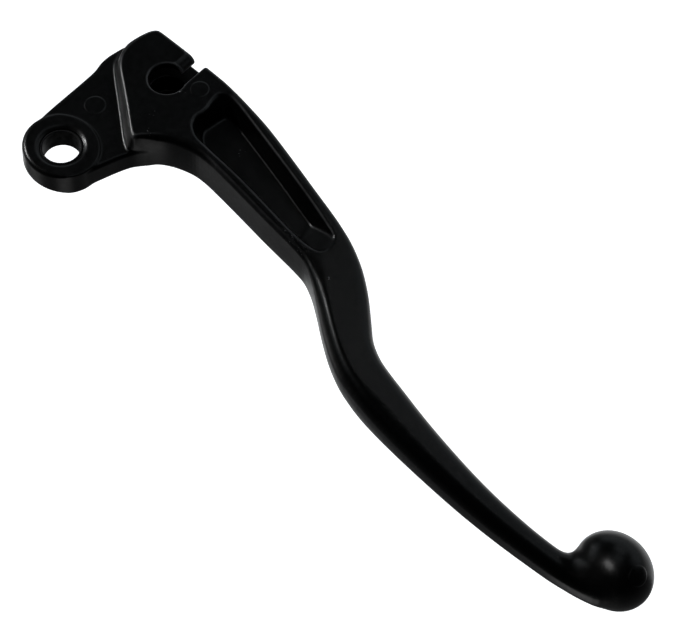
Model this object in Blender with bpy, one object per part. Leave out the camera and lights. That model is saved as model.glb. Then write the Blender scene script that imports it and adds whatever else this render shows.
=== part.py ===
"""Motorcycle clutch lever: a cast aluminium lever that swings on a pivot sleeve.

Origin on the pivot axis, at mid-thickness of the pivot boss. +Z is the pivot axis, +X runs
from the pivot to the ball end, +Y is the front edge, away from the handlebar.
Lengths below are in millimetres; meshes are built in metres.
"""
import math

import bmesh
import bpy
import numpy as np

MM = 0.001

# Pivot boss and web
BOSS_ALONG = 9.4
BOSS_ACROSS = 8.4
BOSS_SHIFT = -0.05
BOSS_HALF = 3.3
BOSS_EDGE = 1.3
WEB_TOP = 2.9
WEB_BOTTOM = -3.15
WEB_EDGE = 1.0
BORE_R = 4.93
SINK_R = 5.85
SINK_DEPTH = 0.62

# Pivot sleeve
SLEEVE_OUTER_R = 4.85
SLEEVE_INNER_R = 4.35
SLEEVE_HALF = 2.7
SLEEVE_CHAMFER = 0.12

# Cable end block
BLOCK_BOTTOM = -3.3
BLOCK_TOP = 8.3
BLOCK_EDGE = 0.9
NIPPLE_X = 7.2
NIPPLE_Y = 27.2
NIPPLE_R = 4.3
NIPPLE_FLOOR = -1.8
MOUTH_LEFT = 7.8
MOUTH_RIGHT = 11.2
MOUTH_FLARE = 2.0
WIRE_SLOT_LOW = 3.4
WIRE_SLOT_HIGH = 6.2
WIRE_SLOT_Y = 25.6
SLOT_PAST_EDGE = 12.0

# Recess in the wide part of the blade
RECESS_FLOOR = 3.3
RECESS_ROUND = 0.5

# Ball end
BALL_X = 164.3
BALL_ALONG = 9.2
BALL_ACROSS = 7.7
BALL_TALL = 9.3
BLADE_MID_Z = 2.5
BALL_ROWS = 22

CIRCLE_SEGMENTS = 96
EDGE_STEPS = 3
CORNER_CUTS = 2
CORNER_STEPS = 5
STATION_COUNT = 52
OVERSHOOT = 2.0

# Plan outlines, counter-clockwise, in row coordinates
WEB_OUTLINE = [
    (-8.9, 0.0), (-5.5, -6.0), (4.5, -6.6), (9.3, -1.1), (10.4, 2.3), (11.4, 5.3), (12.45, 8.0),
    (13.9, 10.7), (15.8, 12.9), (16.5, 18.0), (10.0, 24.0), (0.0, 28.0), (-5.0, 33.6), (-8.0, 32.0),
    (-9.5, 30.0), (-9.9, 28.0), (-10.3, 25.6), (-10.25, 23.2), (-9.55, 20.6), (-9.45, 16.0), (-9.45, 4.0),
]
BLOCK_FOOT = [
    (11.6, 9.2), (13.6, 10.6), (15.3, 12.3), (18.25, 14.5), (20.95, 15.8), (24.2, 17.1), (30.0, 20.0),
    (30.0, 30.0), (24.5, 34.4), (21.0, 35.2), (17.0, 35.7), (6.0, 36.05), (-2.0, 36.2), (-4.5, 36.15),
    (-6.0, 34.8), (-7.6, 32.2), (-8.8, 29.2), (-8.0, 26.8), (-6.9, 24.7), (-4.0, 22.1), (3.4, 16.1),
]
BLOCK_CROWN = [
    (12.8, 9.6), (13.8, 11.2), (15.4, 12.7), (18.25, 14.6), (20.95, 15.8), (24.2, 17.1), (30.0, 20.0),
    (30.0, 30.0), (24.5, 34.4), (21.0, 35.2), (17.0, 35.7), (6.0, 36.05), (-2.0, 36.2), (-4.1, 36.15),
    (-5.3, 34.6), (-6.1, 31.2), (-6.3, 28.0), (-5.3, 24.8), (-3.7, 22.7), (-1.8, 21.1), (4.6, 16.3),
]
RECESS_RIM = [
    (20.3, 21.6), (23.0, 19.9), (27.1, 19.4), (35.9, 18.6), (44.7, 17.3), (54.8, 15.6),
    (60.4, 15.0), (63.8, 15.3), (65.6, 17.3), (64.9, 19.9), (62.2, 22.0), (54.0, 24.6),
    (43.6, 27.6), (32.6, 30.7), (24.5, 32.9), (20.8, 33.5), (18.8, 32.4), (18.9, 30.0),
    (19.8, 26.8), (19.2, 23.8),
]
RECESS_BASE = [
    (22.0, 22.9), (24.0, 21.3), (27.5, 20.7), (36.1, 19.9), (44.9, 18.6), (52.0, 17.4),
    (55.0, 17.0), (56.4, 17.3), (57.0, 18.6), (57.1, 20.2), (56.2, 21.8), (53.0, 22.9),
    (43.2, 25.9), (32.2, 29.0), (25.4, 30.8), (23.2, 31.1), (22.0, 30.6), (21.6, 29.0),
    (21.3, 26.6), (21.0, 24.6),
]

# Blade stations: x, y of the centre line, width, thickness, corner radius, crown of the top
BLADE_STATIONS = [
    (12.0, 26.40, 17.20, 11.30, 1.0, 0.0),
    (22.0, 25.90, 18.20, 11.40, 1.0, 0.0),
    (28.0, 25.55, 17.10, 11.45, 1.0, 0.4),
    (40.0, 23.30, 15.40, 11.40, 1.1, 0.7),
    (52.0, 20.65, 13.70, 11.30, 1.1, 0.8),
    (60.0, 19.00, 12.50, 11.15, 1.2, 1.0),
    (65.0, 17.70, 11.70, 11.05, 1.3, 1.3),
    (70.0, 15.27, 11.60, 10.90, 1.4, 1.6),
    (75.0, 11.80, 11.50, 10.70, 1.5, 1.6),
    (80.0, 7.63, 11.00, 10.50, 1.6, 1.5),
    (85.0, 3.45, 9.90, 10.30, 1.8, 1.3),
    (90.0, 0.55, 9.75, 10.10, 2.0, 1.2),
    (100.0, -2.35, 9.70, 9.70, 2.2, 1.2),
    (110.0, -4.35, 8.70, 9.20, 2.3, 1.1),
    (120.0, -5.90, 7.70, 8.70, 2.3, 1.0),
    (130.0, -7.10, 6.75, 8.20, 2.2, 0.9),
    (140.0, -7.75, 6.00, 7.70, 2.1, 0.8),
    (150.0, -7.85, 5.40, 7.30, 2.0, 0.7),
    (156.0, -7.60, 5.50, 7.00, 2.0, 0.6),
    (162.0, -6.40, 5.80, 6.80, 2.0, 0.6),
    (166.0, -4.80, 5.00, 6.40, 1.9, 0.6),
]
CROWN_REACH = 0.4
FAR_CROWN = 0.4


def clear_scene():
    """Remove everything that is in the new file."""
    for item in list(bpy.data.objects):
        bpy.data.objects.remove(item, do_unlink=True)


def make_material(name, colour, metallic, roughness):
    """A Principled material with a plain colour."""
    material = bpy.data.materials.new(name)
    material.use_nodes = True
    shader = material.node_tree.nodes["Principled BSDF"]
    shader.inputs["Base Color"].default_value = (*colour, 1.0)
    shader.inputs["Metallic"].default_value = metallic
    shader.inputs["Roughness"].default_value = roughness
    return material


def inset(outline, distance):
    """Move each side of a counter-clockwise outline inward by the distance."""
    points = np.array(outline, float)
    before = points - np.roll(points, 1, axis=0)
    after = np.roll(points, -1, axis=0) - points
    before /= np.linalg.norm(before, axis=1)[:, None]
    after /= np.linalg.norm(after, axis=1)[:, None]
    normal_before = np.stack([-before[:, 1], before[:, 0]], axis=1)
    normal_after = np.stack([-after[:, 1], after[:, 0]], axis=1)
    bisector = normal_before + normal_after
    scale = 2.0 / np.sum(bisector ** 2, axis=1)
    return points + bisector * scale[:, None] * distance


def smooth_outline(outline):
    """Round the corners of a closed outline by cutting them."""
    points = np.array(outline, float)
    for _ in range(CORNER_CUTS):
        following = np.roll(points, -1, axis=0)
        first = points * 0.78 + following * 0.22
        second = points * 0.22 + following * 0.78
        points = np.stack([first, second], axis=1).reshape(-1, 2)
    return points


def circle(radius, centre=(0.0, 0.0)):
    """A counter-clockwise circle of points."""
    angles = np.linspace(0.0, 2.0 * math.pi, CIRCLE_SEGMENTS, endpoint=False)
    return np.stack([centre[0] + radius * np.cos(angles), centre[1] + radius * np.sin(angles)], axis=1)


def at_height(outline, z):
    """Place a plan outline at a height."""
    points = np.array(outline, float)
    return np.column_stack([points, np.full(len(points), z)])


def loft(name, loops):
    """A closed solid through loops that have the same number of points."""
    mesh = bpy.data.meshes.new(name)
    bm = bmesh.new()
    rings = []
    for loop in loops:
        rings.append([bm.verts.new([value * MM for value in point]) for point in loop])
    count = len(rings[0])
    for low, high in zip(rings, rings[1:]):
        for i in range(count):
            j = (i + 1) % count
            bm.faces.new([low[i], low[j], high[j], high[i]])
    bm.faces.new(list(reversed(rings[0])))
    bm.faces.new(rings[-1])
    bmesh.ops.recalc_face_normals(bm, faces=bm.faces)
    bm.to_mesh(mesh)
    bm.free()
    solid = bpy.data.objects.new(name, mesh)
    bpy.context.scene.collection.objects.link(solid)
    return solid


def edge_steps(radius):
    """Pairs of inset and drop that round an edge."""
    steps = []
    for i in range(EDGE_STEPS + 1):
        angle = 0.5 * math.pi * i / EDGE_STEPS
        steps.append((radius * (1.0 - math.sin(angle)), radius * (1.0 - math.cos(angle))))
    return steps


def rounded_prism(name, foot, crown, bottom, shoulder, top, edge):
    """A prism with rounded rims whose sides lean from the foot outline to the crown outline."""
    loops = []
    for pull, drop in edge_steps(edge):
        loops.append(at_height(inset(foot, pull), bottom + drop))
    if shoulder is not None:
        loops.append(at_height(foot, shoulder))
    for pull, drop in reversed(edge_steps(edge)):
        loops.append(at_height(inset(crown, pull), top - drop))
    return loft(name, loops)


def blade_section(width, thickness, corner, crown):
    """Points of a rounded rectangle with a crowned top, as offsets across the blade and up."""
    points = []
    for quarter, (side, up, share) in enumerate([(1, 1, FAR_CROWN), (-1, 1, 1), (-1, -1, 0), (1, -1, 0)]):
        sag = share * crown
        arc = []
        for i in range(CORNER_STEPS + 1):
            angle = 0.5 * math.pi * (quarter + i / CORNER_STEPS)
            across = side * (0.5 * width - corner) + corner * math.cos(angle)
            height = up * (0.5 * thickness - sag - corner) + corner * math.sin(angle)
            arc.append((across, height))
        middle = side * width * (0.5 - CROWN_REACH)
        between = 0.5 * (middle + side * (0.5 * width - corner))
        flat = [(between, up * (0.5 * thickness - 0.3 * sag)), (middle, up * 0.5 * thickness)]
        points.extend(arc + flat if quarter % 2 == 0 else flat[::-1] + arc)
    return points


def smooth_interpolate(x, known_x, known_y):
    """Smooth curve through the stations, with no overshoot between them."""
    slopes = np.gradient(known_y, known_x)
    i = int(np.clip(np.searchsorted(known_x, x) - 1, 0, len(known_x) - 2))
    span = known_x[i + 1] - known_x[i]
    t = (x - known_x[i]) / span
    near = (1 + 2 * t) * (1 - t) ** 2 * known_y[i] + t * (1 - t) ** 2 * span * slopes[i]
    far = t * t * (3 - 2 * t) * known_y[i + 1] + t * t * (t - 1) * span * slopes[i + 1]
    return near + far


def build_blade():
    """The blade as a loft of rounded rectangles along its centre line."""
    stations = np.array(BLADE_STATIONS)
    known_x = stations[:, 0]
    step = 0.05
    loops = []
    for x in np.linspace(known_x[0], known_x[-1], STATION_COUNT):
        y, *section = [smooth_interpolate(x, known_x, stations[:, k]) for k in range(1, 6)]
        low = max(x - step, known_x[0])
        high = min(x + step, known_x[-1])
        rise = smooth_interpolate(high, known_x, stations[:, 1]) - smooth_interpolate(low, known_x, stations[:, 1])
        angle = math.atan2(rise, high - low)
        across_x, across_y = -math.sin(angle), math.cos(angle)
        loop = []
        for across, height in blade_section(*section):
            loop.append((x + across * across_x, y + across * across_y, BLADE_MID_Z + height))
        loops.append(loop)
    return loft("blade", loops)


def build_ball():
    """The ball end, slightly flattened from front to back."""
    loops = []
    for angle in np.linspace(-0.488 * math.pi, 0.488 * math.pi, BALL_ROWS):
        ring = circle(math.cos(angle))[::2] * (BALL_ALONG, BALL_ACROSS) + (BALL_X, 0.0)
        loops.append(at_height(ring, BLADE_MID_Z + BALL_TALL * math.sin(angle)))
    return loft("ball", loops)


def combine(target, tool, operation):
    """Join or cut with an exact Boolean and drop the tool."""
    modifier = target.modifiers.new("combine", "BOOLEAN")
    modifier.solver = "EXACT"
    modifier.operation = operation
    modifier.object = tool
    bpy.context.view_layer.objects.active = target
    bpy.ops.object.modifier_apply(modifier=modifier.name)
    bpy.data.objects.remove(tool, do_unlink=True)


def bore_cutter():
    """Pivot bore with a countersink at each face."""
    reach = BOSS_HALF + OVERSHOOT
    sink_reach = SINK_R + (SINK_R - BORE_R) * OVERSHOOT / SINK_DEPTH
    throat = BOSS_HALF - SINK_DEPTH
    rings = [(sink_reach, -reach), (BORE_R, -throat), (BORE_R, throat), (sink_reach, reach)]
    return loft("bore_cutter", [at_height(circle(radius), z) for radius, z in rings])


def nipple_cutter():
    """Blind hole for the cable nipple."""
    ring = circle(NIPPLE_R, (NIPPLE_X, NIPPLE_Y))
    return loft("nipple_cutter", [at_height(ring, NIPPLE_FLOOR), at_height(ring, BLOCK_TOP + OVERSHOOT)])


def mouth_cutter():
    """Slot that lets the wire into the nipple hole; its left lip is rounded off at the top."""
    profile = [
        (MOUTH_LEFT, WIRE_SLOT_LOW + 0.4),
        (MOUTH_RIGHT, WIRE_SLOT_LOW + 0.4),
        (MOUTH_RIGHT, BLOCK_TOP - 0.7),
        (MOUTH_RIGHT + 0.7, BLOCK_TOP + 0.05),
        (MOUTH_RIGHT + 0.7, BLOCK_TOP + OVERSHOOT),
        (MOUTH_LEFT - MOUTH_FLARE, BLOCK_TOP + OVERSHOOT),
        (MOUTH_LEFT - MOUTH_FLARE, BLOCK_TOP + 0.05),
    ]
    for i in range(1, 4):
        angle = 0.5 * math.pi * i / 4
        profile.append((
            MOUTH_LEFT - MOUTH_FLARE * (1.0 - math.sin(angle)),
            BLOCK_TOP - MOUTH_FLARE * (1.0 - math.cos(angle)),
        ))
    loops = []
    for y in (NIPPLE_Y, NIPPLE_Y + SLOT_PAST_EDGE):
        loops.append([(x, y, z) for x, z in profile])
    return loft("mouth_cutter", loops)


def wire_slot_cutter():
    """Level slot in which the wire swings as the lever turns."""
    left = -SLOT_PAST_EDGE
    outline = [
        (left, WIRE_SLOT_Y),
        (MOUTH_RIGHT, WIRE_SLOT_Y),
        (MOUTH_RIGHT, NIPPLE_Y + SLOT_PAST_EDGE),
        (left, NIPPLE_Y + SLOT_PAST_EDGE),
    ]
    return loft("wire_slot_cutter", [at_height(outline, WIRE_SLOT_LOW), at_height(outline, WIRE_SLOT_HIGH)])


def recess_cutter():
    """Tapered recess in the top of the blade."""
    rim = smooth_outline(RECESS_RIM)
    base = smooth_outline(RECESS_BASE)
    share = RECESS_ROUND / (BLOCK_TOP - RECESS_FLOOR)
    loops = [
        at_height(inset(base, RECESS_ROUND), RECESS_FLOOR),
        at_height(base + (rim - base) * share, RECESS_FLOOR + RECESS_ROUND),
        at_height(rim, BLOCK_TOP),
        at_height(rim, BLOCK_TOP + OVERSHOOT),
    ]
    return loft("recess_cutter", loops)


def build_lever(material):
    """The cast lever: boss, web, block, blade and ball in one body."""
    foot = smooth_outline(BLOCK_FOOT)
    crown = smooth_outline(BLOCK_CROWN)
    web = smooth_outline(WEB_OUTLINE)
    lever = rounded_prism("lever_blade", foot, crown, BLOCK_BOTTOM, WEB_TOP, BLOCK_TOP, BLOCK_EDGE)
    combine(lever, rounded_prism("web", web, web, WEB_BOTTOM, None, WEB_TOP, WEB_EDGE), "UNION")
    boss = circle(1.0) * (BOSS_ALONG, BOSS_ACROSS) + (BOSS_SHIFT, 0.0)
    combine(lever, rounded_prism("boss", boss, boss, -BOSS_HALF, None, BOSS_HALF, BOSS_EDGE), "UNION")
    combine(lever, build_blade(), "UNION")
    combine(lever, build_ball(), "UNION")
    for cutter in (bore_cutter(), nipple_cutter(), mouth_cutter(), wire_slot_cutter(), recess_cutter()):
        combine(lever, cutter, "DIFFERENCE")
    lever.data.materials.clear()
    lever.data.materials.append(material)
    return lever


def build_sleeve(material):
    """The steel sleeve that stays on the pivot bolt while the lever turns around it."""
    profile = [
        (SLEEVE_INNER_R, -SLEEVE_HALF + SLEEVE_CHAMFER),
        (SLEEVE_INNER_R + SLEEVE_CHAMFER, -SLEEVE_HALF),
        (SLEEVE_OUTER_R - SLEEVE_CHAMFER, -SLEEVE_HALF),
        (SLEEVE_OUTER_R, -SLEEVE_HALF + SLEEVE_CHAMFER),
        (SLEEVE_OUTER_R, SLEEVE_HALF - SLEEVE_CHAMFER),
        (SLEEVE_OUTER_R - SLEEVE_CHAMFER, SLEEVE_HALF),
        (SLEEVE_INNER_R + SLEEVE_CHAMFER, SLEEVE_HALF),
        (SLEEVE_INNER_R, SLEEVE_HALF - SLEEVE_CHAMFER),
    ]
    mesh = bpy.data.meshes.new("pivot_sleeve")
    bm = bmesh.new()
    rings = []
    for radius, z in profile:
        ring = at_height(circle(radius), z)
        rings.append([bm.verts.new([value * MM for value in point]) for point in ring])
    for k in range(len(rings)):
        low = rings[k]
        high = rings[(k + 1) % len(rings)]
        for i in range(CIRCLE_SEGMENTS):
            j = (i + 1) % CIRCLE_SEGMENTS
            bm.faces.new([low[i], low[j], high[j], high[i]])
    bmesh.ops.recalc_face_normals(bm, faces=bm.faces)
    bm.to_mesh(mesh)
    bm.free()
    sleeve = bpy.data.objects.new("pivot_sleeve", mesh)
    bpy.context.scene.collection.objects.link(sleeve)
    sleeve.data.materials.append(material)
    return sleeve


def shade(item):
    """Smooth shading with crisp edges."""
    bpy.ops.object.select_all(action="DESELECT")
    item.select_set(True)
    bpy.context.view_layer.objects.active = item
    bpy.ops.object.shade_smooth_by_angle(angle=math.radians(32.0))


def main():
    clear_scene()
    coating = make_material("black_coated_aluminium", (0.012, 0.012, 0.013), 0.3, 0.38)
    steel = make_material("sleeve_steel", (0.16, 0.16, 0.17), 1.0, 0.35)
    for item in (build_lever(coating), build_sleeve(steel)):
        shade(item)


main()
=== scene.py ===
"""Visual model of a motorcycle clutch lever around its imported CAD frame."""
import math

import bpy
import numpy as np
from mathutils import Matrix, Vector


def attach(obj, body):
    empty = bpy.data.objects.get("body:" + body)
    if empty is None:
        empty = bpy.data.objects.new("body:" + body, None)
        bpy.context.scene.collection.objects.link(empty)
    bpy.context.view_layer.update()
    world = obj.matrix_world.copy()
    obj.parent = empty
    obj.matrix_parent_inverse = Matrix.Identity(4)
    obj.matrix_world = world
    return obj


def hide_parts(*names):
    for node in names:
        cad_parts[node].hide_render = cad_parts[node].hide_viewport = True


MM = 0.001

# Sizes in millimetres, following the CAD part
BOSS_ALONG = 9.4
BOSS_ACROSS = 8.4
BOSS_SHIFT = -0.05
BOSS_HALF = 3.3
# Rounding of the boss where it meets the web, and on its free side
BOSS_EDGE = (0.4, 1.3)
FREE_SIDE = (-0.6, -0.8)
WEB_TOP = 2.9
WEB_BOTTOM = -3.15
WEB_EDGE = 1.0
BORE_R = 4.93
SINK_R = 5.85
SINK_DEPTH = 0.62
SINK_START_Z = 1.0
BLOCK_TOP = 8.3
NIPPLE = (7.2, 27.2)
NIPPLE_R = 4.3
NIPPLE_FLOOR = -1.8
MOUTH_LEFT = 7.8
MOUTH_RIGHT = 11.2
MOUTH_FLARE = 2.0
WIRE_SLOT_LOW = 3.4
WIRE_SLOT_HIGH = 6.2
WIRE_SLOT_Y = 25.6
RECESS_FLOOR = 3.3
# The recess's walls keep their slope above the top, up to this share of their height
RECESS_OVERRUN = 1.3
# The recess's floor climbs to its tip: a point where the climb starts, its heading and its slope
RAMP_START = (56.7, 21.3)
RAMP_HEADING = (0.97, 0.24)
RAMP_SLOPE = 0.58
BALL_X = 164.3
BALL_Y = -0.2
BALL_ALONG = 9.2
BALL_ACROSS = 7.7
BALL_TALL = 9.3
BLADE_MID_Z = 2.5
# Fillets between the shapes, and the rounding of the edges they cut
BOSS_FILLET = 0.4
BLOCK_FILLET = 0.9
BALL_FILLET = 3.6
BORE_EDGE = 0.25
SEAT_EDGE = 0.6
RECESS_EDGE = 0.7
RECESS_FILLET = 0.6

WEB_OUTLINE = [
    (-8.9, 0.0), (-5.5, -6.0), (4.5, -6.6), (9.3, -1.1), (10.4, 2.3), (11.4, 5.3), (12.45, 8.0),
    (13.9, 10.7), (15.8, 12.9), (16.5, 18.0), (10.0, 24.0), (0.0, 28.0), (-5.0, 33.6), (-8.0, 32.0),
    (-9.5, 30.0), (-9.9, 28.0), (-10.3, 25.6), (-10.25, 23.2), (-9.55, 20.6), (-9.45, 16.0), (-9.45, 4.0),
]
BLOCK_FOOT = [
    (11.6, 9.2), (13.6, 10.6), (15.3, 12.3), (18.25, 14.5), (20.95, 15.8),
    (21.0, 35.2), (17.0, 35.7), (6.0, 36.05), (-2.0, 36.2), (-4.5, 36.15),
    (-6.0, 34.8), (-7.6, 32.2), (-8.8, 29.2), (-8.0, 26.8), (-6.9, 24.7), (-4.0, 22.1), (3.4, 16.1),
]
BLOCK_CROWN = [
    (12.8, 9.6), (13.8, 11.2), (15.4, 12.7), (18.25, 14.6), (20.95, 15.8),
    (21.0, 35.2), (17.0, 35.7), (6.0, 36.05), (-2.0, 36.2), (-4.1, 36.15),
    (-5.3, 34.6), (-6.1, 31.2), (-6.3, 28.0), (-5.3, 24.8), (-3.7, 22.7), (-1.8, 21.1), (4.6, 16.3),
]
RECESS_RIM = [
    (20.3, 21.6), (23.0, 19.9), (27.1, 19.4), (35.9, 18.6), (44.7, 17.3), (54.8, 15.6),
    (60.4, 14.9), (64.6, 15.2), (66.0, 17.0), (65.6, 19.6), (64.4, 21.1), (54.0, 24.6),
    (43.6, 27.6), (32.6, 30.7), (24.5, 32.9), (20.8, 33.5), (18.8, 32.4), (18.9, 30.0),
    (19.8, 26.8), (19.2, 23.8),
]
RECESS_BASE = [
    (22.0, 22.9), (24.0, 21.3), (27.5, 20.7), (36.1, 19.9), (44.9, 18.6), (52.0, 17.4),
    (60.0, 16.4), (64.4, 16.4), (65.2, 17.4), (64.9, 19.0), (64.0, 19.8), (53.0, 22.9),
    (43.2, 25.9), (32.2, 29.0), (25.4, 30.8), (23.2, 31.1), (22.0, 30.6), (21.6, 29.0),
    (21.3, 26.6), (21.0, 24.6),
]
# Blade stations: x, y of the centre line, width, thickness, corner radius, crown of the top
MIDDLE, WIDTH, THICKNESS, CORNER, CROWN = 1, 2, 3, 4, 5
BLADE_STATIONS = np.array([
    (22.0, 25.90, 18.20, 11.60, 0.8, 0.0),
    (28.0, 25.55, 17.10, 11.45, 1.0, 0.2),
    (40.0, 23.30, 15.40, 11.40, 1.1, 0.3),
    (52.0, 20.65, 13.70, 11.30, 1.1, 0.3),
    (60.0, 19.00, 12.50, 11.15, 1.2, 0.3),
    (65.0, 17.70, 11.70, 11.05, 1.3, 0.4),
    (70.0, 15.27, 11.60, 10.90, 1.4, 0.7),
    (75.0, 11.80, 11.50, 10.70, 1.5, 0.9),
    (80.0, 7.63, 11.00, 10.50, 1.6, 1.1),
    (85.0, 3.45, 9.90, 10.30, 1.8, 1.1),
    (90.0, 0.55, 9.75, 10.10, 2.0, 1.1),
    (100.0, -2.35, 9.70, 9.70, 2.2, 1.2),
    (110.0, -4.35, 8.70, 9.20, 2.3, 1.1),
    (120.0, -5.90, 7.70, 8.70, 2.3, 1.0),
    (130.0, -7.10, 6.75, 8.20, 2.2, 0.9),
    (140.0, -7.75, 6.00, 7.70, 2.1, 0.8),
    (150.0, -7.85, 5.40, 7.30, 2.0, 0.7),
    (156.0, -7.60, 5.50, 7.00, 2.0, 0.6),
    (162.0, -6.40, 5.80, 6.80, 2.0, 0.6),
    (166.0, -4.80, 5.00, 6.40, 1.9, 0.6),
])
ARM_X = np.linspace(26.0, 166.0, 29)
SLOPE_STEP = 0.5
# How far in from its edges the blade's top falls away, as a share of the width, at four places
# along x, and the share of that fall on the far side
CROWN_X = (62.0, 72.0, 88.0, 102.0)
CROWN_REACH = (0.4, 0.25, 0.25, 0.4)
FAR_CROWN = 0.4
# Extra rounding of the near edge below the step and in the bend
NEAR_CORNER_X = (13.0, 17.0, 23.0, 32.0, 66.0, 74.0, 88.0, 98.0)
NEAR_CORNER = (0.0, 0.9, 0.9, 0.0, 0.0, 0.9, 0.9, 0.0)
# The walls bulge, more along the blade than at the block; the last value is the share of the
# bulge that stands outside the outline at mid-height
BULGE_X = (60.0, 90.0)
WALL_BULGE = (0.25, 0.45)
BULGE_MIDDLE = 0.65
# Points of a block outline before the blade joins it, and the rounds of corner cutting
BLOCK_NEAR_POINTS = 5
CORNER_CUTS = 2
CORNER_SHARE = 0.22
# Grid on which the casting's surface is found
GRID_START = (-11.0, -14.0, -8.0)
GRID_END = (174.5, 37.5, 13.0)
GRID_STEP = 0.25
GRID_SLAB = 64
SETTLING_STEPS = 3
LEAST_STEEPNESS = 0.2

# Faint round marks left by the ejector pins: centre, radius
PIN_MARKS = [((-2.5, 13.5, 2.9), 2.4), ((14.8, 30.0, 8.3), 2.1), ((171.2, -0.6, 8.6), 2.3)]
PIN_MARK_HEIGHT = 0.09
PIN_MARK_EDGE = 0.22
# Wear on edges, which is also a painted highlight that makes the upper edges lighter: how far around a point
# its sharpness is measured, the height where the wear and painted highlight begin, the sharpness at which
# they start and are full, and their colour
EDGE_REACH = 0.7
WEAR_AND_HIGHLIGHT_LEVEL = 2.2
WEAR_AND_HIGHLIGHT_START = 0.35
WEAR_AND_HIGHLIGHT_END = 0.9
WORN_EDGE_AND_HIGHLIGHT = 0.03
# Places where the coating has small chips: centre, radius
CHIPPED_SPOTS = [
    ((57.5, 14.3, 8.0), 2.2), ((61.5, 13.8, 8.0), 1.6), ((11.6, 17.8, 8.3), 1.0),
    ((12.2, 26.9, 8.3), 1.0), ((14.8, 13.9, 8.0), 0.9), ((31.3, 26.0, 3.3), 1.0), ((71.1, 11.8, 7.6), 0.8),
]
CHIP_DEPTH = 0.04
CHIP_COLOUR = 0.1
# Sizes of the patterns in the coating, and the depth of its grain and waves
GRAIN_SIZE = 0.28
GRAIN_DEPTH = 0.012
WAVE_SIZE = 2.2
WAVE_DEPTH = 0.02
PATCH_SIZE = 9.0
CHIP_SIZE = 0.45
RUB_SIZE = 3.0
GLOSS_SIZE = 1.4
# Noise values at which those patterns start and are full, the most a patch is dulled and the
# least an edge is rubbed
PATCH_RANGE = (0.35, 0.7)
CHIP_RANGE = (0.64, 0.72)
RUB_RANGE = (0.3, 0.6)
GLOSS_RANGE = (0.3, 0.7)
MOST_DULLED = 0.35
LEAST_RUBBED = 0.5
# The coating's greys and roughness range, and how much rougher its dull patches are
COAT_COLOURS = (0.0001, 0.0005)
COAT_ROUGHNESS = (0.28, 0.33)
COAT_SPECULAR = 0.11
DULLING = 0.05
# Turning marks and stains on the sleeve, its greys and its roughness range
TURNING_SIZE = 0.12
TURNING_STRETCH = 0.15
TURNING_DEPTH = 0.01
STAIN_SIZE = 1.6
STAIN_RANGE = (0.35, 0.7)
SLEEVE_COLOURS = (0.003, 0.0015)
SLEEVE_ROUGHNESS = (0.55, 0.7)
SLEEVE_SPECULAR = 0.05

# View and studio, in metres and radians
SENSOR = 36.0
LENS = 236.84
VIEW_AZIMUTH = math.radians(42.52)
VIEW_ELEVATION = math.radians(56.0)
VIEW_TARGET = (0.07743, 0.00932, 0.0)
VIEW_DISTANCE = 0.9927
CLIP_START = 0.01
CLIP_END = 20.0
FLOOR_Z = -0.25
FLOOR_SIDE = 3.0
FLOOR_BACK = 6.0
FLOOR_FRONT = 0.7
# Glow that the lever mirrors: where it fades out toward the floor's front and left, which is painted shade,
# what is left of it, the darker grey painted there as shade, and the floor's own greys
FADE_FRONT = (-0.020, 0.010)
FADE_LEFT = (-0.052, -0.038)
FADED_GLOW = 0.12
PAINTED_SHADE_FLOOR = 0.12
PALE_FLOOR = (0.78, 0.8)
MOTTLE_SIZE = 60.0
FLOOR_ROUGHNESS = 0.9
FLOOR_SPECULAR = 0.1
# Lighter patches of that glow: centre and radius in millimetres, strength
PATCH_EDGE = 20.0
GLOW_PATCHES = [
    ((-20.0, -255.0, 0.0), 86.0, 1.8),
    ((-205.0, -10.0, 0.0), 65.0, 0.6),
    ((-170.0, 215.0, 0.0), 85.0, 2.2),
    ((-390.0, 160.0, 0.0), 110.0, 1.8),
    ((-1400.0, 1900.0, 0.0), 1500.0, 0.4),
]
# Strength of the room as the lever mirrors it, and as seen directly
ROOM_LIGHT = 0.03
BACKDROP = 1.2
LAMP_COLOUR = (0.87, 0.95, 1.0)
LIT_POINT = (0.06, 0.01, 0.0)
# name, direction from the lever, distance, width, height, power
LAMPS = [
    ("left_panel", (-0.85, -0.20, 0.40), 1.3, 1.0, 0.5, 2.6),
    ("right_panel", (0.55, 0.55, 0.55), 1.5, 0.8, 0.5, 1.0),
    ("back_wall", (-0.15, 0.90, 0.42), 1.7, 4.2, 1.1, 14.0),
    ("sky_panel", (-0.02, 0.45, 0.76), 0.9, 0.45, 0.45, 0.9),
    ("top_panel", (0.15, 0.0, 1.0), 1.2, 0.45, 0.45, 0.9),
]
# name, point lit, direction from it, distance, lamp radius, beam radius, power
SPOTS = [
    ("pivot_spot", (0.003, 0.014, 0.003), (-0.85, -0.20, 0.48), 2.0, 0.03, 0.032, 230.0),
    ("bend_spot", (0.087, 0.001, 0.006), (-0.85, -0.20, 0.48), 1.2, 0.005, 0.018, 6.0),
    ("boss_spot", (-0.004, -0.004, 0.003), (-0.82, -0.36, 0.44), 1.2, 0.01, 0.012, 60.0),
    ("blade_spot", (0.090, 0.000, 0.007), (-0.378, 0.412, 0.829), 1.2, 0.03, 0.040, 1.0),
]
# A square of nine lamps on the ball and a row of four on its neck
BALL_LIT = (0.1675, -0.0025, 0.0103)
NECK_LIT = (0.1585, -0.0045, 0.0080)
SPOTS += [
    ("ball_spot", BALL_LIT, (-0.094 + aside, -0.606 + ahead, 0.782), 0.75, 0.003, 0.0095, 1.8)
    for aside in (-0.12, 0.0, 0.12)
    for ahead in (-0.12, 0.0, 0.12)
]
SPOTS += [
    ("neck_spot", NECK_LIT, (-0.80, -0.40 + aside, 0.26), 0.75, 0.003, 0.0070, 0.35)
    for aside in (-0.30, -0.10, 0.10, 0.30)
]
SPOT_BLEND = 0.5


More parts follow.
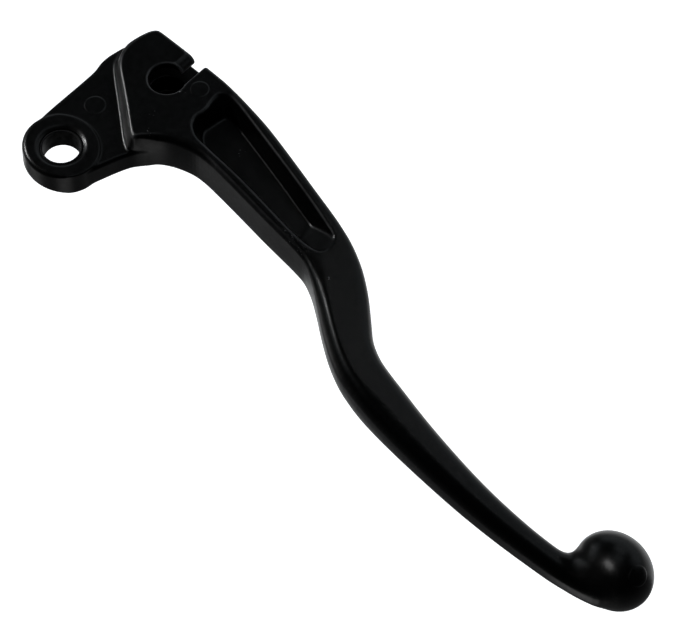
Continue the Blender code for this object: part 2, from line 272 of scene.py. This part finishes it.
def curve(x, known_x, known_y):
    """Smooth curve through known points, held at its ends."""
    slopes = np.gradient(known_y, known_x)
    x = np.clip(x, known_x[0], known_x[-1])
    i = np.clip(np.searchsorted(known_x, x) - 1, 0, len(known_x) - 2)
    span = known_x[i + 1] - known_x[i]
    t = (x - known_x[i]) / span
    near = (1 + 2 * t) * (1 - t) ** 2 * known_y[i] + t * (1 - t) ** 2 * span * slopes[i]
    far = t * t * (3 - 2 * t) * known_y[i + 1] + t * t * (t - 1) * span * slopes[i + 1]
    return near + far


def blade(x, column):
    """One column of the blade stations at x."""
    return curve(x, BLADE_STATIONS[:, 0], BLADE_STATIONS[:, column])


def rounded(outline):
    """Outline with its corners cut twice."""
    points = np.array(outline, float)
    for _ in range(CORNER_CUTS):
        following = np.roll(points, -1, axis=0)
        first = points * (1 - CORNER_SHARE) + following * CORNER_SHARE
        second = points * CORNER_SHARE + following * (1 - CORNER_SHARE)
        points = np.stack([first, second], axis=1).reshape(-1, 2)
    return points


def arm_sides():
    """The two long edges of the blade in plan, from the block to inside the ball."""
    first, last = BLADE_STATIONS[0, 0], BLADE_STATIONS[-1, 0]
    before = np.clip(ARM_X - SLOPE_STEP, first, last)
    after = np.clip(ARM_X + SLOPE_STEP, first, last)
    slope = (blade(after, MIDDLE) - blade(before, MIDDLE)) / (after - before)
    length = np.sqrt(1 + slope ** 2)
    half = 0.5 * blade(ARM_X, WIDTH)
    y = blade(ARM_X, MIDDLE)
    near = np.stack([ARM_X + half * slope / length, y - half / length], axis=1)
    far = np.stack([ARM_X - half * slope / length, y + half / length], axis=1)
    return near, far[::-1]


def body_outline(block):
    """Plan outline of the thick part: an open outline of the block closed round the blade."""
    near, far = arm_sides()
    return rounded(np.concatenate([block[:BLOCK_NEAR_POINTS], near, far, block[BLOCK_NEAR_POINTS:]]))


def polygon(x, y, outline):
    """Signed distance to a closed outline, negative inside."""
    points = np.asarray(outline, float)
    squared = np.full(np.broadcast(x, y).shape, 1e12)
    inside = np.zeros(squared.shape, bool)
    for (ax, ay), (bx, by) in zip(points, np.roll(points, -1, axis=0)):
        ex, ey = bx - ax, by - ay
        wx, wy = x - ax, y - ay
        t = np.clip((wx * ex + wy * ey) / (ex * ex + ey * ey), 0.0, 1.0)
        squared = np.minimum(squared, (wx - ex * t) ** 2 + (wy - ey * t) ** 2)
        if ey != 0.0:
            crosses = ((ay > y) != (by > y)) & (wx < ex * wy / ey)
            inside ^= crosses
    distance = np.sqrt(squared)
    return np.where(inside, -distance, distance)


def extrude(plan, z, low, high, edge):
    """Plate between two heights with rounded rims."""
    across = plan + edge
    up = np.abs(z - 0.5 * (low + high)) - 0.5 * (high - low) + edge
    outside = np.sqrt(np.maximum(across, 0) ** 2 + np.maximum(up, 0) ** 2)
    return outside + np.minimum(np.maximum(across, up), 0) - edge


def join(a, b, blend):
    """Union of two distances with a fillet."""
    h = np.maximum(blend - np.abs(a - b), 0.0)
    return np.minimum(a, b) - h * h / (4 * blend)


def cut(a, b, blend):
    """The first distance without the second, with a rounded edge."""
    h = np.maximum(blend - np.abs(a + b), 0.0)
    return np.maximum(a, -b) + h * h / (4 * blend)


def meet(a, b, blend):
    """What two distances have in common."""
    return cut(a, -b, blend)


class Lever:
    """Distance to the lever's surface; plan distances are worked out once for each set of x and y."""

    def __init__(self, x, y):
        self.x = x
        self.y = y
        self.web = polygon(x, y, rounded(WEB_OUTLINE))
        self.foot = polygon(x, y, body_outline(BLOCK_FOOT))
        self.crown = polygon(x, y, body_outline(BLOCK_CROWN))
        around_boss = np.sqrt(((x - BOSS_SHIFT) / BOSS_ALONG) ** 2 + (y / BOSS_ACROSS) ** 2)
        self.boss = (around_boss - 1.0) * BOSS_ACROSS
        free_side = np.clip(FREE_SIDE[0] * x + FREE_SIDE[1] * y, 0.0, BOSS_ACROSS) / BOSS_ACROSS
        self.boss_edge = BOSS_EDGE[0] + (BOSS_EDGE[1] - BOSS_EDGE[0]) * np.sqrt(free_side)
        self.recess_rim = polygon(x, y, rounded(RECESS_RIM))
        self.recess_base = polygon(x, y, rounded(RECESS_BASE))
        self.along_ramp = (x - RAMP_START[0]) * RAMP_HEADING[0] + (y - RAMP_START[1]) * RAMP_HEADING[1]
        self.axis_r = np.sqrt(x ** 2 + y ** 2)
        self.nipple_r = np.sqrt((x - NIPPLE[0]) ** 2 + (y - NIPPLE[1]) ** 2)
        # the top falls away toward the long edges, more on the near side than on the far side
        reach = np.interp(x, CROWN_X, CROWN_REACH) * blade(x, WIDTH)
        toward_edge = 1.0 - np.clip(-self.crown / reach, 0.0, 1.0)
        share = np.where(y > blade(x, MIDDLE), FAR_CROWN, 1.0)
        self.half = 0.5 * blade(x, THICKNESS)
        self.bulge = np.interp(x, BULGE_X, WALL_BULGE)
        self.top = BLADE_MID_Z + self.half - share * blade(x, CROWN) * toward_edge ** 2
        near_corner = np.interp(x, NEAR_CORNER_X, NEAR_CORNER)
        self.corner = blade(x, CORNER) + np.where(y < blade(x, MIDDLE), near_corner, 0.0)

    def block_and_arm(self, z):
        """Block and blade: the plan narrows from foot to crown, and the walls bulge."""
        rise = np.clip((z - WEB_TOP) / (BLOCK_TOP - WEB_TOP), 0, 1)
        plan = self.foot + (self.crown - self.foot) * rise
        plan = plan + self.bulge * (((z - BLADE_MID_Z) / self.half) ** 2 - BULGE_MIDDLE)
        return extrude(plan, z, BLADE_MID_Z - self.half, self.top, self.corner)

    def ball(self, z):
        """Ball end, an ellipsoid."""
        along = (self.x - BALL_X) / BALL_ALONG
        across = (self.y - BALL_Y) / BALL_ACROSS
        up = (z - BLADE_MID_Z) / BALL_TALL
        return (np.sqrt(along ** 2 + across ** 2 + up ** 2) - 1.0) * BALL_ACROSS

    def bore(self, z):
        """Bore with a countersink at both ends."""
        slope = (SINK_R - BORE_R) / SINK_DEPTH
        sink = (self.axis_r - SINK_R - (np.abs(z) - BOSS_HALF) * slope) / math.sqrt(1 + slope * slope)
        return np.minimum(self.axis_r - BORE_R, np.where(np.abs(z) > SINK_START_Z, sink, BORE_R))

    def cable_seat(self, z):
        """Blind nipple hole, the mouth beside it and the slot for the wire."""
        x, y = self.x, self.y
        nipple = np.maximum(self.nipple_r - NIPPLE_R, NIPPLE_FLOOR - z)
        rounding = np.clip((z - BLOCK_TOP + MOUTH_FLARE) / MOUTH_FLARE, 0, 1) ** 2
        mouth = np.maximum(MOUTH_LEFT - MOUTH_FLARE * rounding - x, x - MOUTH_RIGHT)
        mouth = np.maximum(mouth, np.maximum(NIPPLE[1] - y, WIRE_SLOT_LOW - z))
        wire = np.maximum(x - MOUTH_RIGHT, WIRE_SLOT_Y - y)
        wire = np.maximum(wire, np.maximum(WIRE_SLOT_LOW - z, z - WIRE_SLOT_HIGH))
        return np.minimum(np.minimum(nipple, mouth), wire)

    def recess(self, z):
        """Recess in the blade: sloping walls, a flat floor and a floor that climbs to the tip."""
        rise = np.clip((z - RECESS_FLOOR) / (BLOCK_TOP - RECESS_FLOOR), 0, RECESS_OVERRUN)
        side = self.recess_base + (self.recess_rim - self.recess_base) * rise
        base = RECESS_FLOOR + RAMP_SLOPE * self.along_ramp
        pocket = meet(side, RECESS_FLOOR - z, RECESS_FILLET)
        return meet(pocket, (base - z) / math.sqrt(1 + RAMP_SLOPE ** 2), RECESS_FILLET)

    def distance(self, z):
        """Distance to the whole casting, negative inside it."""
        web = extrude(self.web, z, WEB_BOTTOM, WEB_TOP, WEB_EDGE)
        boss = extrude(self.boss, z, -BOSS_HALF, BOSS_HALF, self.boss_edge)
        solid = join(web, boss, BOSS_FILLET)
        solid = join(solid, self.block_and_arm(z), BLOCK_FILLET)
        solid = join(solid, self.ball(z), BALL_FILLET)
        solid = cut(solid, self.bore(z), BORE_EDGE)
        solid = cut(solid, self.cable_seat(z), SEAT_EDGE)
        return cut(solid, self.recess(z), RECESS_EDGE)


def sample(field, start, spacing, points):
    """Trilinear value of the field at points."""
    place = (points - start) / spacing
    base = np.clip(np.floor(place).astype(int), 0, np.array(field.shape) - 2)
    f = place - base
    total = 0.0
    for dx in (0, 1):
        for dy in (0, 1):
            for dz in (0, 1):
                weight = (
                    np.where(dx, f[:, 0], 1 - f[:, 0])
                    * np.where(dy, f[:, 1], 1 - f[:, 1])
                    * np.where(dz, f[:, 2], 1 - f[:, 2])
                )
                total = total + weight * field[base[:, 0] + dx, base[:, 1] + dy, base[:, 2] + dz]
    return total


def gradient(field, start, spacing, points):
    """Slope of the field at points."""
    step = 0.5 * spacing
    columns = []
    for axis in range(3):
        offset = np.zeros(3)
        offset[axis] = step
        rise = sample(field, start, spacing, points + offset) - sample(field, start, spacing, points - offset)
        columns.append(rise / spacing)
    return np.stack(columns, axis=1)


def surface(field, start, spacing):
    """Quads and vertices of the surface where the field is zero."""
    inside = field < 0
    cells = np.zeros(np.array(field.shape) - 1, np.int8)
    corners = [(a, b, c) for a in (0, 1) for b in (0, 1) for c in (0, 1)]
    for a, b, c in corners:
        cells += inside[a:a + cells.shape[0], b:b + cells.shape[1], c:c + cells.shape[2]]
    active = (cells > 0) & (cells < 8)
    index = np.full(cells.shape, -1)
    where = np.argwhere(active)
    index[active] = np.arange(len(where))
    total = np.zeros((len(where), 3))
    count = np.zeros(len(where))
    for p in corners:
        for axis in range(3):
            if p[axis]:
                continue
            q = tuple(1 if k == axis else p[k] for k in range(3))
            fp = field[where[:, 0] + p[0], where[:, 1] + p[1], where[:, 2] + p[2]]
            fq = field[where[:, 0] + q[0], where[:, 1] + q[1], where[:, 2] + q[2]]
            crosses = (fp < 0) != (fq < 0)
            t = np.where(crosses, fp / np.where(crosses, fp - fq, 1.0), 0.0)
            point = np.array(p, float) + t[:, None] * (np.array(q) - np.array(p))
            total += np.where(crosses[:, None], point, 0.0)
            count += crosses
    vertices = start + spacing * (where + total / count[:, None])
    quads = []
    for axis in range(3):
        u, v = (axis + 1) % 3, (axis + 2) % 3
        first = np.take(inside, range(field.shape[axis] - 1), axis)
        second = np.take(inside, range(1, field.shape[axis]), axis)
        edges = np.argwhere(first != second)
        edges = edges[(edges[:, u] > 0) & (edges[:, v] > 0)]
        edges = edges[(edges[:, u] < field.shape[u] - 1) & (edges[:, v] < field.shape[v] - 1)]
        ring = []
        for du, dv in ((1, 1), (0, 1), (0, 0), (1, 0)):
            cell = edges.copy()
            cell[:, u] -= du
            cell[:, v] -= dv
            ring.append(index[cell[:, 0], cell[:, 1], cell[:, 2]])
        quad = np.stack(ring, axis=1)
        outward = inside[edges[:, 0], edges[:, 1], edges[:, 2]]
        quad[~outward] = quad[~outward][:, ::-1]
        quads.append(quad)
    return vertices, np.concatenate(quads)


def distance_field(start, spacing):
    """Distance to the casting at every point of a grid."""
    counts = np.ceil((np.array(GRID_END) - start) / spacing).astype(int)
    xs, ys, zs = (start[k] + spacing * np.arange(counts[k]) for k in range(3))
    field = np.empty(counts, np.float32)
    for i in range(0, counts[0], GRID_SLAB):
        part = Lever(xs[i:i + GRID_SLAB, None, None], ys[None, :, None])
        field[i:i + GRID_SLAB] = part.distance(zs[None, None, :])
    return field


def edge_sharpness(field, start, spacing, vertices, normals):
    """How far the surface falls away around each vertex, for its reach; only the upper side gets the wear and
    painted edge highlight.
    """
    # the small second term keeps the direction along the surface defined on level faces
    across = np.cross(normals, (0.0, 0.0, 1.0)) + np.cross(normals, (0.0, 1.0, 0.0)) * 0.1
    across /= np.linalg.norm(across, axis=1)[:, None]
    drop = np.zeros(len(vertices))
    for side in (across, np.cross(normals, across)):
        drop += sample(field, start, spacing, vertices + side * EDGE_REACH)
        drop += sample(field, start, spacing, vertices - side * EDGE_REACH)
    # only the upper edges get the wear and painted highlight
    drop *= np.clip(vertices[:, 2] / WEAR_AND_HIGHLIGHT_LEVEL - 1.0, 0.0, 1.0)
    return drop / EDGE_REACH


def lever_mesh(spacing):
    """The casting as a mesh whose vertices lie on the surface, with the surface's own normals."""
    start = np.array(GRID_START)
    field = distance_field(start, spacing)
    vertices, quads = surface(field, start, spacing)
    for _ in range(SETTLING_STEPS):
        slope = gradient(field, start, spacing, vertices)
        height = sample(field, start, spacing, vertices)
        steepness = np.maximum(np.sum(slope ** 2, axis=1), LEAST_STEEPNESS)
        vertices -= slope * (height / steepness)[:, None]
    slope = gradient(field, start, spacing, vertices)
    normals = slope / np.linalg.norm(slope, axis=1)[:, None]
    sharp = edge_sharpness(field, start, spacing, vertices, normals)
    mesh = bpy.data.meshes.new("lever_casting")
    mesh.from_pydata((vertices * MM).tolist(), [], quads.tolist())
    mesh.update()
    mesh.polygons.foreach_set("use_smooth", [True] * len(mesh.polygons))
    mesh.normals_split_custom_set_from_vertices(normals.tolist())
    sharpness = mesh.attributes.new("sharpness", "FLOAT", "POINT")
    sharpness.data.foreach_set("value", sharp.astype(np.float32))
    lever = bpy.data.objects.new("lever_casting", mesh)
    bpy.context.scene.collection.objects.link(lever)
    return lever


class Tree:
    """Short way to write a node tree."""

    def __init__(self, material):
        material.use_nodes = True
        self.tree = material.node_tree
        self.shader = self.tree.nodes["Principled BSDF"]

    def put(self, socket, value):
        if isinstance(value, bpy.types.NodeSocket):
            self.tree.links.new(value, socket)
        else:
            socket.default_value = value

    def node(self, kind, inputs, output=0, **settings):
        item = self.tree.nodes.new(kind)
        for name, value in settings.items():
            setattr(item, name, value)
        for name, value in inputs.items():
            self.put(item.inputs[name], value)
        return item.outputs[output]

    def math(self, operation, a, b):
        return self.node("ShaderNodeMath", {0: a, 1: b}, operation=operation)

    def place(self):
        return self.node("ShaderNodeTexCoord", {}, output="Object")

    def noise(self, place, size, detail=2.0):
        """Noise whose patches are about size millimetres wide, centred on 0.5."""
        inputs = {"Vector": place, "Scale": 1.0 / (size * MM), "Detail": detail}
        return self.node("ShaderNodeTexNoise", inputs)

    def ramp(self, value, low, high, start=0.0, end=1.0):
        """Value mapped smoothly from low..high to start..end."""
        inputs = {"Value": value, "From Min": low, "From Max": high, "To Min": start, "To Max": end}
        return self.node("ShaderNodeMapRange", inputs, interpolation_type="SMOOTHSTEP")

    def distance(self, place, centre):
        target = tuple(c * MM for c in centre)
        return self.node("ShaderNodeVectorMath", {0: place, 1: target}, output="Value", operation="DISTANCE")

    def disc(self, place, centre, radius, edge):
        """1 inside a round patch, falling to 0 over its edge."""
        far = self.distance(place, centre)
        return self.ramp(far, (radius - edge) * MM, (radius + edge) * MM, 1.0, 0.0)

    def bump(self, height, reach, normal=None):
        """Normal of a surface raised by height, which stands for up to reach millimetres."""
        inputs = {"Height": height, "Distance": reach * MM, "Strength": 1.0}
        if normal is not None:
            inputs["Normal"] = normal
        return self.node("ShaderNodeBump", inputs)

    def mix(self, factor, a, b):
        return self.node("ShaderNodeMix", {0: factor, 6: a, 7: b}, output=2, data_type="RGBA")

    def set(self, **values):
        for name, value in values.items():
            self.put(self.shader.inputs[name.replace("_", " ")], value)


def grey(value):
    """Faintly blue grey."""
    return (value, value, value * 1.04, 1.0)


def neutral(value):
    return (value, value, value, 1.0)


def coating():
    """Satin black coating over a casting: fine grain, soft waviness, faint pin marks and a few chips."""
    material = bpy.data.materials.new("black_coating")
    tree = Tree(material)
    place = tree.place()
    grain = tree.noise(place, GRAIN_SIZE, 3.0)
    waves = tree.noise(place, WAVE_SIZE)
    patches = tree.noise(place, PATCH_SIZE, 4.0)
    normal = tree.bump(waves, WAVE_DEPTH)
    normal = tree.bump(grain, GRAIN_DEPTH, normal)
    for centre, radius in PIN_MARKS:
        normal = tree.bump(tree.disc(place, centre, radius, PIN_MARK_EDGE), PIN_MARK_HEIGHT, normal)
    chips = 0.0
    for centre, radius in CHIPPED_SPOTS:
        chips = tree.math("MAXIMUM", chips, tree.disc(place, centre, radius, 0.5 * radius))
    flakes = tree.ramp(tree.noise(place, CHIP_SIZE), *CHIP_RANGE)
    chips = tree.math("MULTIPLY", chips, flakes)
    normal = tree.bump(chips, -CHIP_DEPTH, normal)
    dulled = tree.ramp(patches, *PATCH_RANGE, 0.0, MOST_DULLED)
    colour = tree.mix(dulled, grey(COAT_COLOURS[0]), grey(COAT_COLOURS[1]))
    colour = tree.mix(chips, colour, grey(CHIP_COLOUR))
    # lighter grey on sharp upper edges: partly rubbed wear, partly painted highlight
    sharp = tree.node("ShaderNodeAttribute", {}, output="Fac", attribute_name="sharpness")
    edge = tree.ramp(sharp, WEAR_AND_HIGHLIGHT_START, WEAR_AND_HIGHLIGHT_END)
    rubbed = tree.ramp(tree.noise(place, RUB_SIZE, 3.0), *RUB_RANGE, LEAST_RUBBED, 1.0)
    colour = tree.mix(tree.math("MULTIPLY", edge, rubbed), colour, grey(WORN_EDGE_AND_HIGHLIGHT))
    gloss = tree.ramp(tree.noise(place, GLOSS_SIZE, 3.0), *GLOSS_RANGE, *COAT_ROUGHNESS)
    gloss = tree.math("ADD", gloss, tree.math("MULTIPLY", dulled, DULLING))
    tree.set(Base_Color=colour, Roughness=gloss, Specular_IOR_Level=COAT_SPECULAR, Normal=normal)
    return material


def sleeve_steel():
    """Blackened steel with fine turning marks around its axis."""
    material = bpy.data.materials.new("blackened_steel")
    tree = Tree(material)
    place = tree.place()
    stretch = (TURNING_STRETCH, TURNING_STRETCH, 1.0)
    rings = tree.node("ShaderNodeVectorMath", {0: place, 1: stretch}, operation="MULTIPLY")
    normal = tree.bump(tree.noise(rings, TURNING_SIZE, 3.0), TURNING_DEPTH)
    stains = tree.ramp(tree.noise(place, STAIN_SIZE, 3.0), *STAIN_RANGE)
    colour = tree.mix(stains, grey(SLEEVE_COLOURS[0]), grey(SLEEVE_COLOURS[1]))
    gloss = tree.ramp(stains, 0.0, 1.0, *SLEEVE_ROUGHNESS)
    tree.set(Base_Color=colour, Roughness=gloss, Specular_IOR_Level=SLEEVE_SPECULAR, Normal=normal)
    return material


def pale_floor():
    """White board lit from below with the faintest mottling; the glow that the lever mirrors fades toward the
    front and left, with a darker grey there, as painted shade.
    """
    material = bpy.data.materials.new("pale_floor")
    tree = Tree(material)
    place = tree.place()
    side = tree.node("ShaderNodeSeparateXYZ", {0: place}, output="X")
    depth = tree.node("ShaderNodeSeparateXYZ", {0: place}, output="Y")
    # painted shade: the glow fades toward the floor's front and left
    lit = tree.math("MULTIPLY", tree.ramp(depth, *FADE_FRONT), tree.ramp(side, *FADE_LEFT))
    glow = tree.ramp(lit, 0.0, 1.0, FADED_GLOW, 1.0)
    for centre, radius, level in GLOW_PATCHES:
        patch = tree.math("MULTIPLY", tree.disc(place, centre, radius, PATCH_EDGE), level)
        glow = tree.math("MAXIMUM", glow, patch)
    seen = tree.node("ShaderNodeLightPath", {}, output="Is Camera Ray")
    glow = tree.math("MAXIMUM", glow, seen)
    shade = tree.noise(place, MOTTLE_SIZE, 3.0)
    colour = tree.mix(shade, neutral(PALE_FLOOR[0]), neutral(PALE_FLOOR[1]))
    # painted shade: darker grey where the glow fades
    colour = tree.mix(lit, grey(PAINTED_SHADE_FLOOR), colour)
    tree.set(Base_Color=colour, Roughness=FLOOR_ROUGHNESS, Specular_IOR_Level=FLOOR_SPECULAR)
    tree.set(Emission_Color=neutral(1.0), Emission_Strength=glow)
    return material


def camera():
    """Camera looking down at the lever from its near side."""
    data = bpy.data.cameras.new("camera")
    data.sensor_width = SENSOR
    data.lens = LENS
    data.clip_start = CLIP_START
    data.clip_end = CLIP_END
    item = bpy.data.objects.new("camera", data)
    bpy.context.scene.collection.objects.link(item)
    level = math.cos(VIEW_ELEVATION)
    back = Vector((math.sin(VIEW_AZIMUTH) * level, -math.cos(VIEW_AZIMUTH) * level, math.sin(VIEW_ELEVATION)))
    item.location = Vector(VIEW_TARGET) + back * VIEW_DISTANCE
    item.rotation_euler = back.to_track_quat("Z", "Y").to_euler()
    bpy.context.scene.camera = item


def softbox(name, direction, distance, width, height, power):
    """Rectangular lamp that faces the lever from a direction."""
    data = bpy.data.lights.new(name, "AREA")
    data.energy = power
    data.shape = "RECTANGLE"
    data.size = width
    data.size_y = height
    data.color = LAMP_COLOUR
    item = bpy.data.objects.new(name, data)
    bpy.context.scene.collection.objects.link(item)
    away = Vector(direction).normalized()
    item.location = Vector(LIT_POINT) + away * distance
    item.rotation_euler = away.to_track_quat("Z", "Y").to_euler()


def spot(name, target, direction, distance, radius, beam, power):
    """Snooted lamp whose beam reaches only a small part of the lever."""
    data = bpy.data.lights.new(name, "SPOT")
    data.energy = power
    data.shadow_soft_size = radius
    data.spot_size = 2.0 * math.atan(beam / distance)
    data.spot_blend = SPOT_BLEND
    item = bpy.data.objects.new(name, data)
    bpy.context.scene.collection.objects.link(item)
    away = Vector(direction).normalized()
    item.location = Vector(target) + away * distance
    item.rotation_euler = away.to_track_quat("Z", "Y").to_euler()


def room():
    """Dim room for everything the lever mirrors, plain and pale where it is seen directly."""
    world = bpy.data.worlds.new("room")
    bpy.context.scene.world = world
    world.use_nodes = True
    tree = world.node_tree
    background = tree.nodes["Background"]
    background.inputs["Color"].default_value = (*LAMP_COLOUR, 1.0)
    path = tree.nodes.new("ShaderNodeLightPath")
    light = tree.nodes.new("ShaderNodeMapRange")
    light.inputs["To Min"].default_value = ROOM_LIGHT
    light.inputs["To Max"].default_value = BACKDROP
    tree.links.new(path.outputs["Is Camera Ray"], light.inputs["Value"])
    tree.links.new(light.outputs["Result"], background.inputs["Strength"])


def pale_board():
    """Floor well below the lever, square to the view."""
    mesh = bpy.data.meshes.new("floor")
    corners = [
        (-FLOOR_SIDE, -FLOOR_FRONT, 0.0),
        (FLOOR_SIDE, -FLOOR_FRONT, 0.0),
        (FLOOR_SIDE, FLOOR_BACK, 0.0),
        (-FLOOR_SIDE, FLOOR_BACK, 0.0),
    ]
    mesh.from_pydata(corners, [], [(0, 1, 2, 3)])
    mesh.materials.append(pale_floor())
    floor = bpy.data.objects.new("floor", mesh)
    floor.location = (0.0, 0.0, FLOOR_Z)
    floor.rotation_euler = (0.0, 0.0, VIEW_AZIMUTH)
    bpy.context.scene.collection.objects.link(floor)


def studio():
    """Room, floor, soft panels and snooted lamps."""
    room()
    pale_board()
    for lamp in LAMPS:
        softbox(*lamp)
    for lamp in SPOTS:
        spot(*lamp)
    bpy.context.scene.view_settings.view_transform = "Standard"


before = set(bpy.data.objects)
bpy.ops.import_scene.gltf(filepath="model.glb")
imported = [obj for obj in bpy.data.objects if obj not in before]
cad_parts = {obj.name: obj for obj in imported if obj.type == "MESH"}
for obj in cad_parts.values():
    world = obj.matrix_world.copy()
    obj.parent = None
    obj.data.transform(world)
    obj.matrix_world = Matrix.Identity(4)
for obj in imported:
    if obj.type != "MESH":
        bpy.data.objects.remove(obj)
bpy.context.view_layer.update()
casting = lever_mesh(GRID_STEP)
casting.data.materials.append(coating())
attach(casting, "lever")
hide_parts("lever_blade")
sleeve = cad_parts["pivot_sleeve"]
sleeve.data.materials.clear()
sleeve.data.materials.append(sleeve_steel())
camera()
studio()
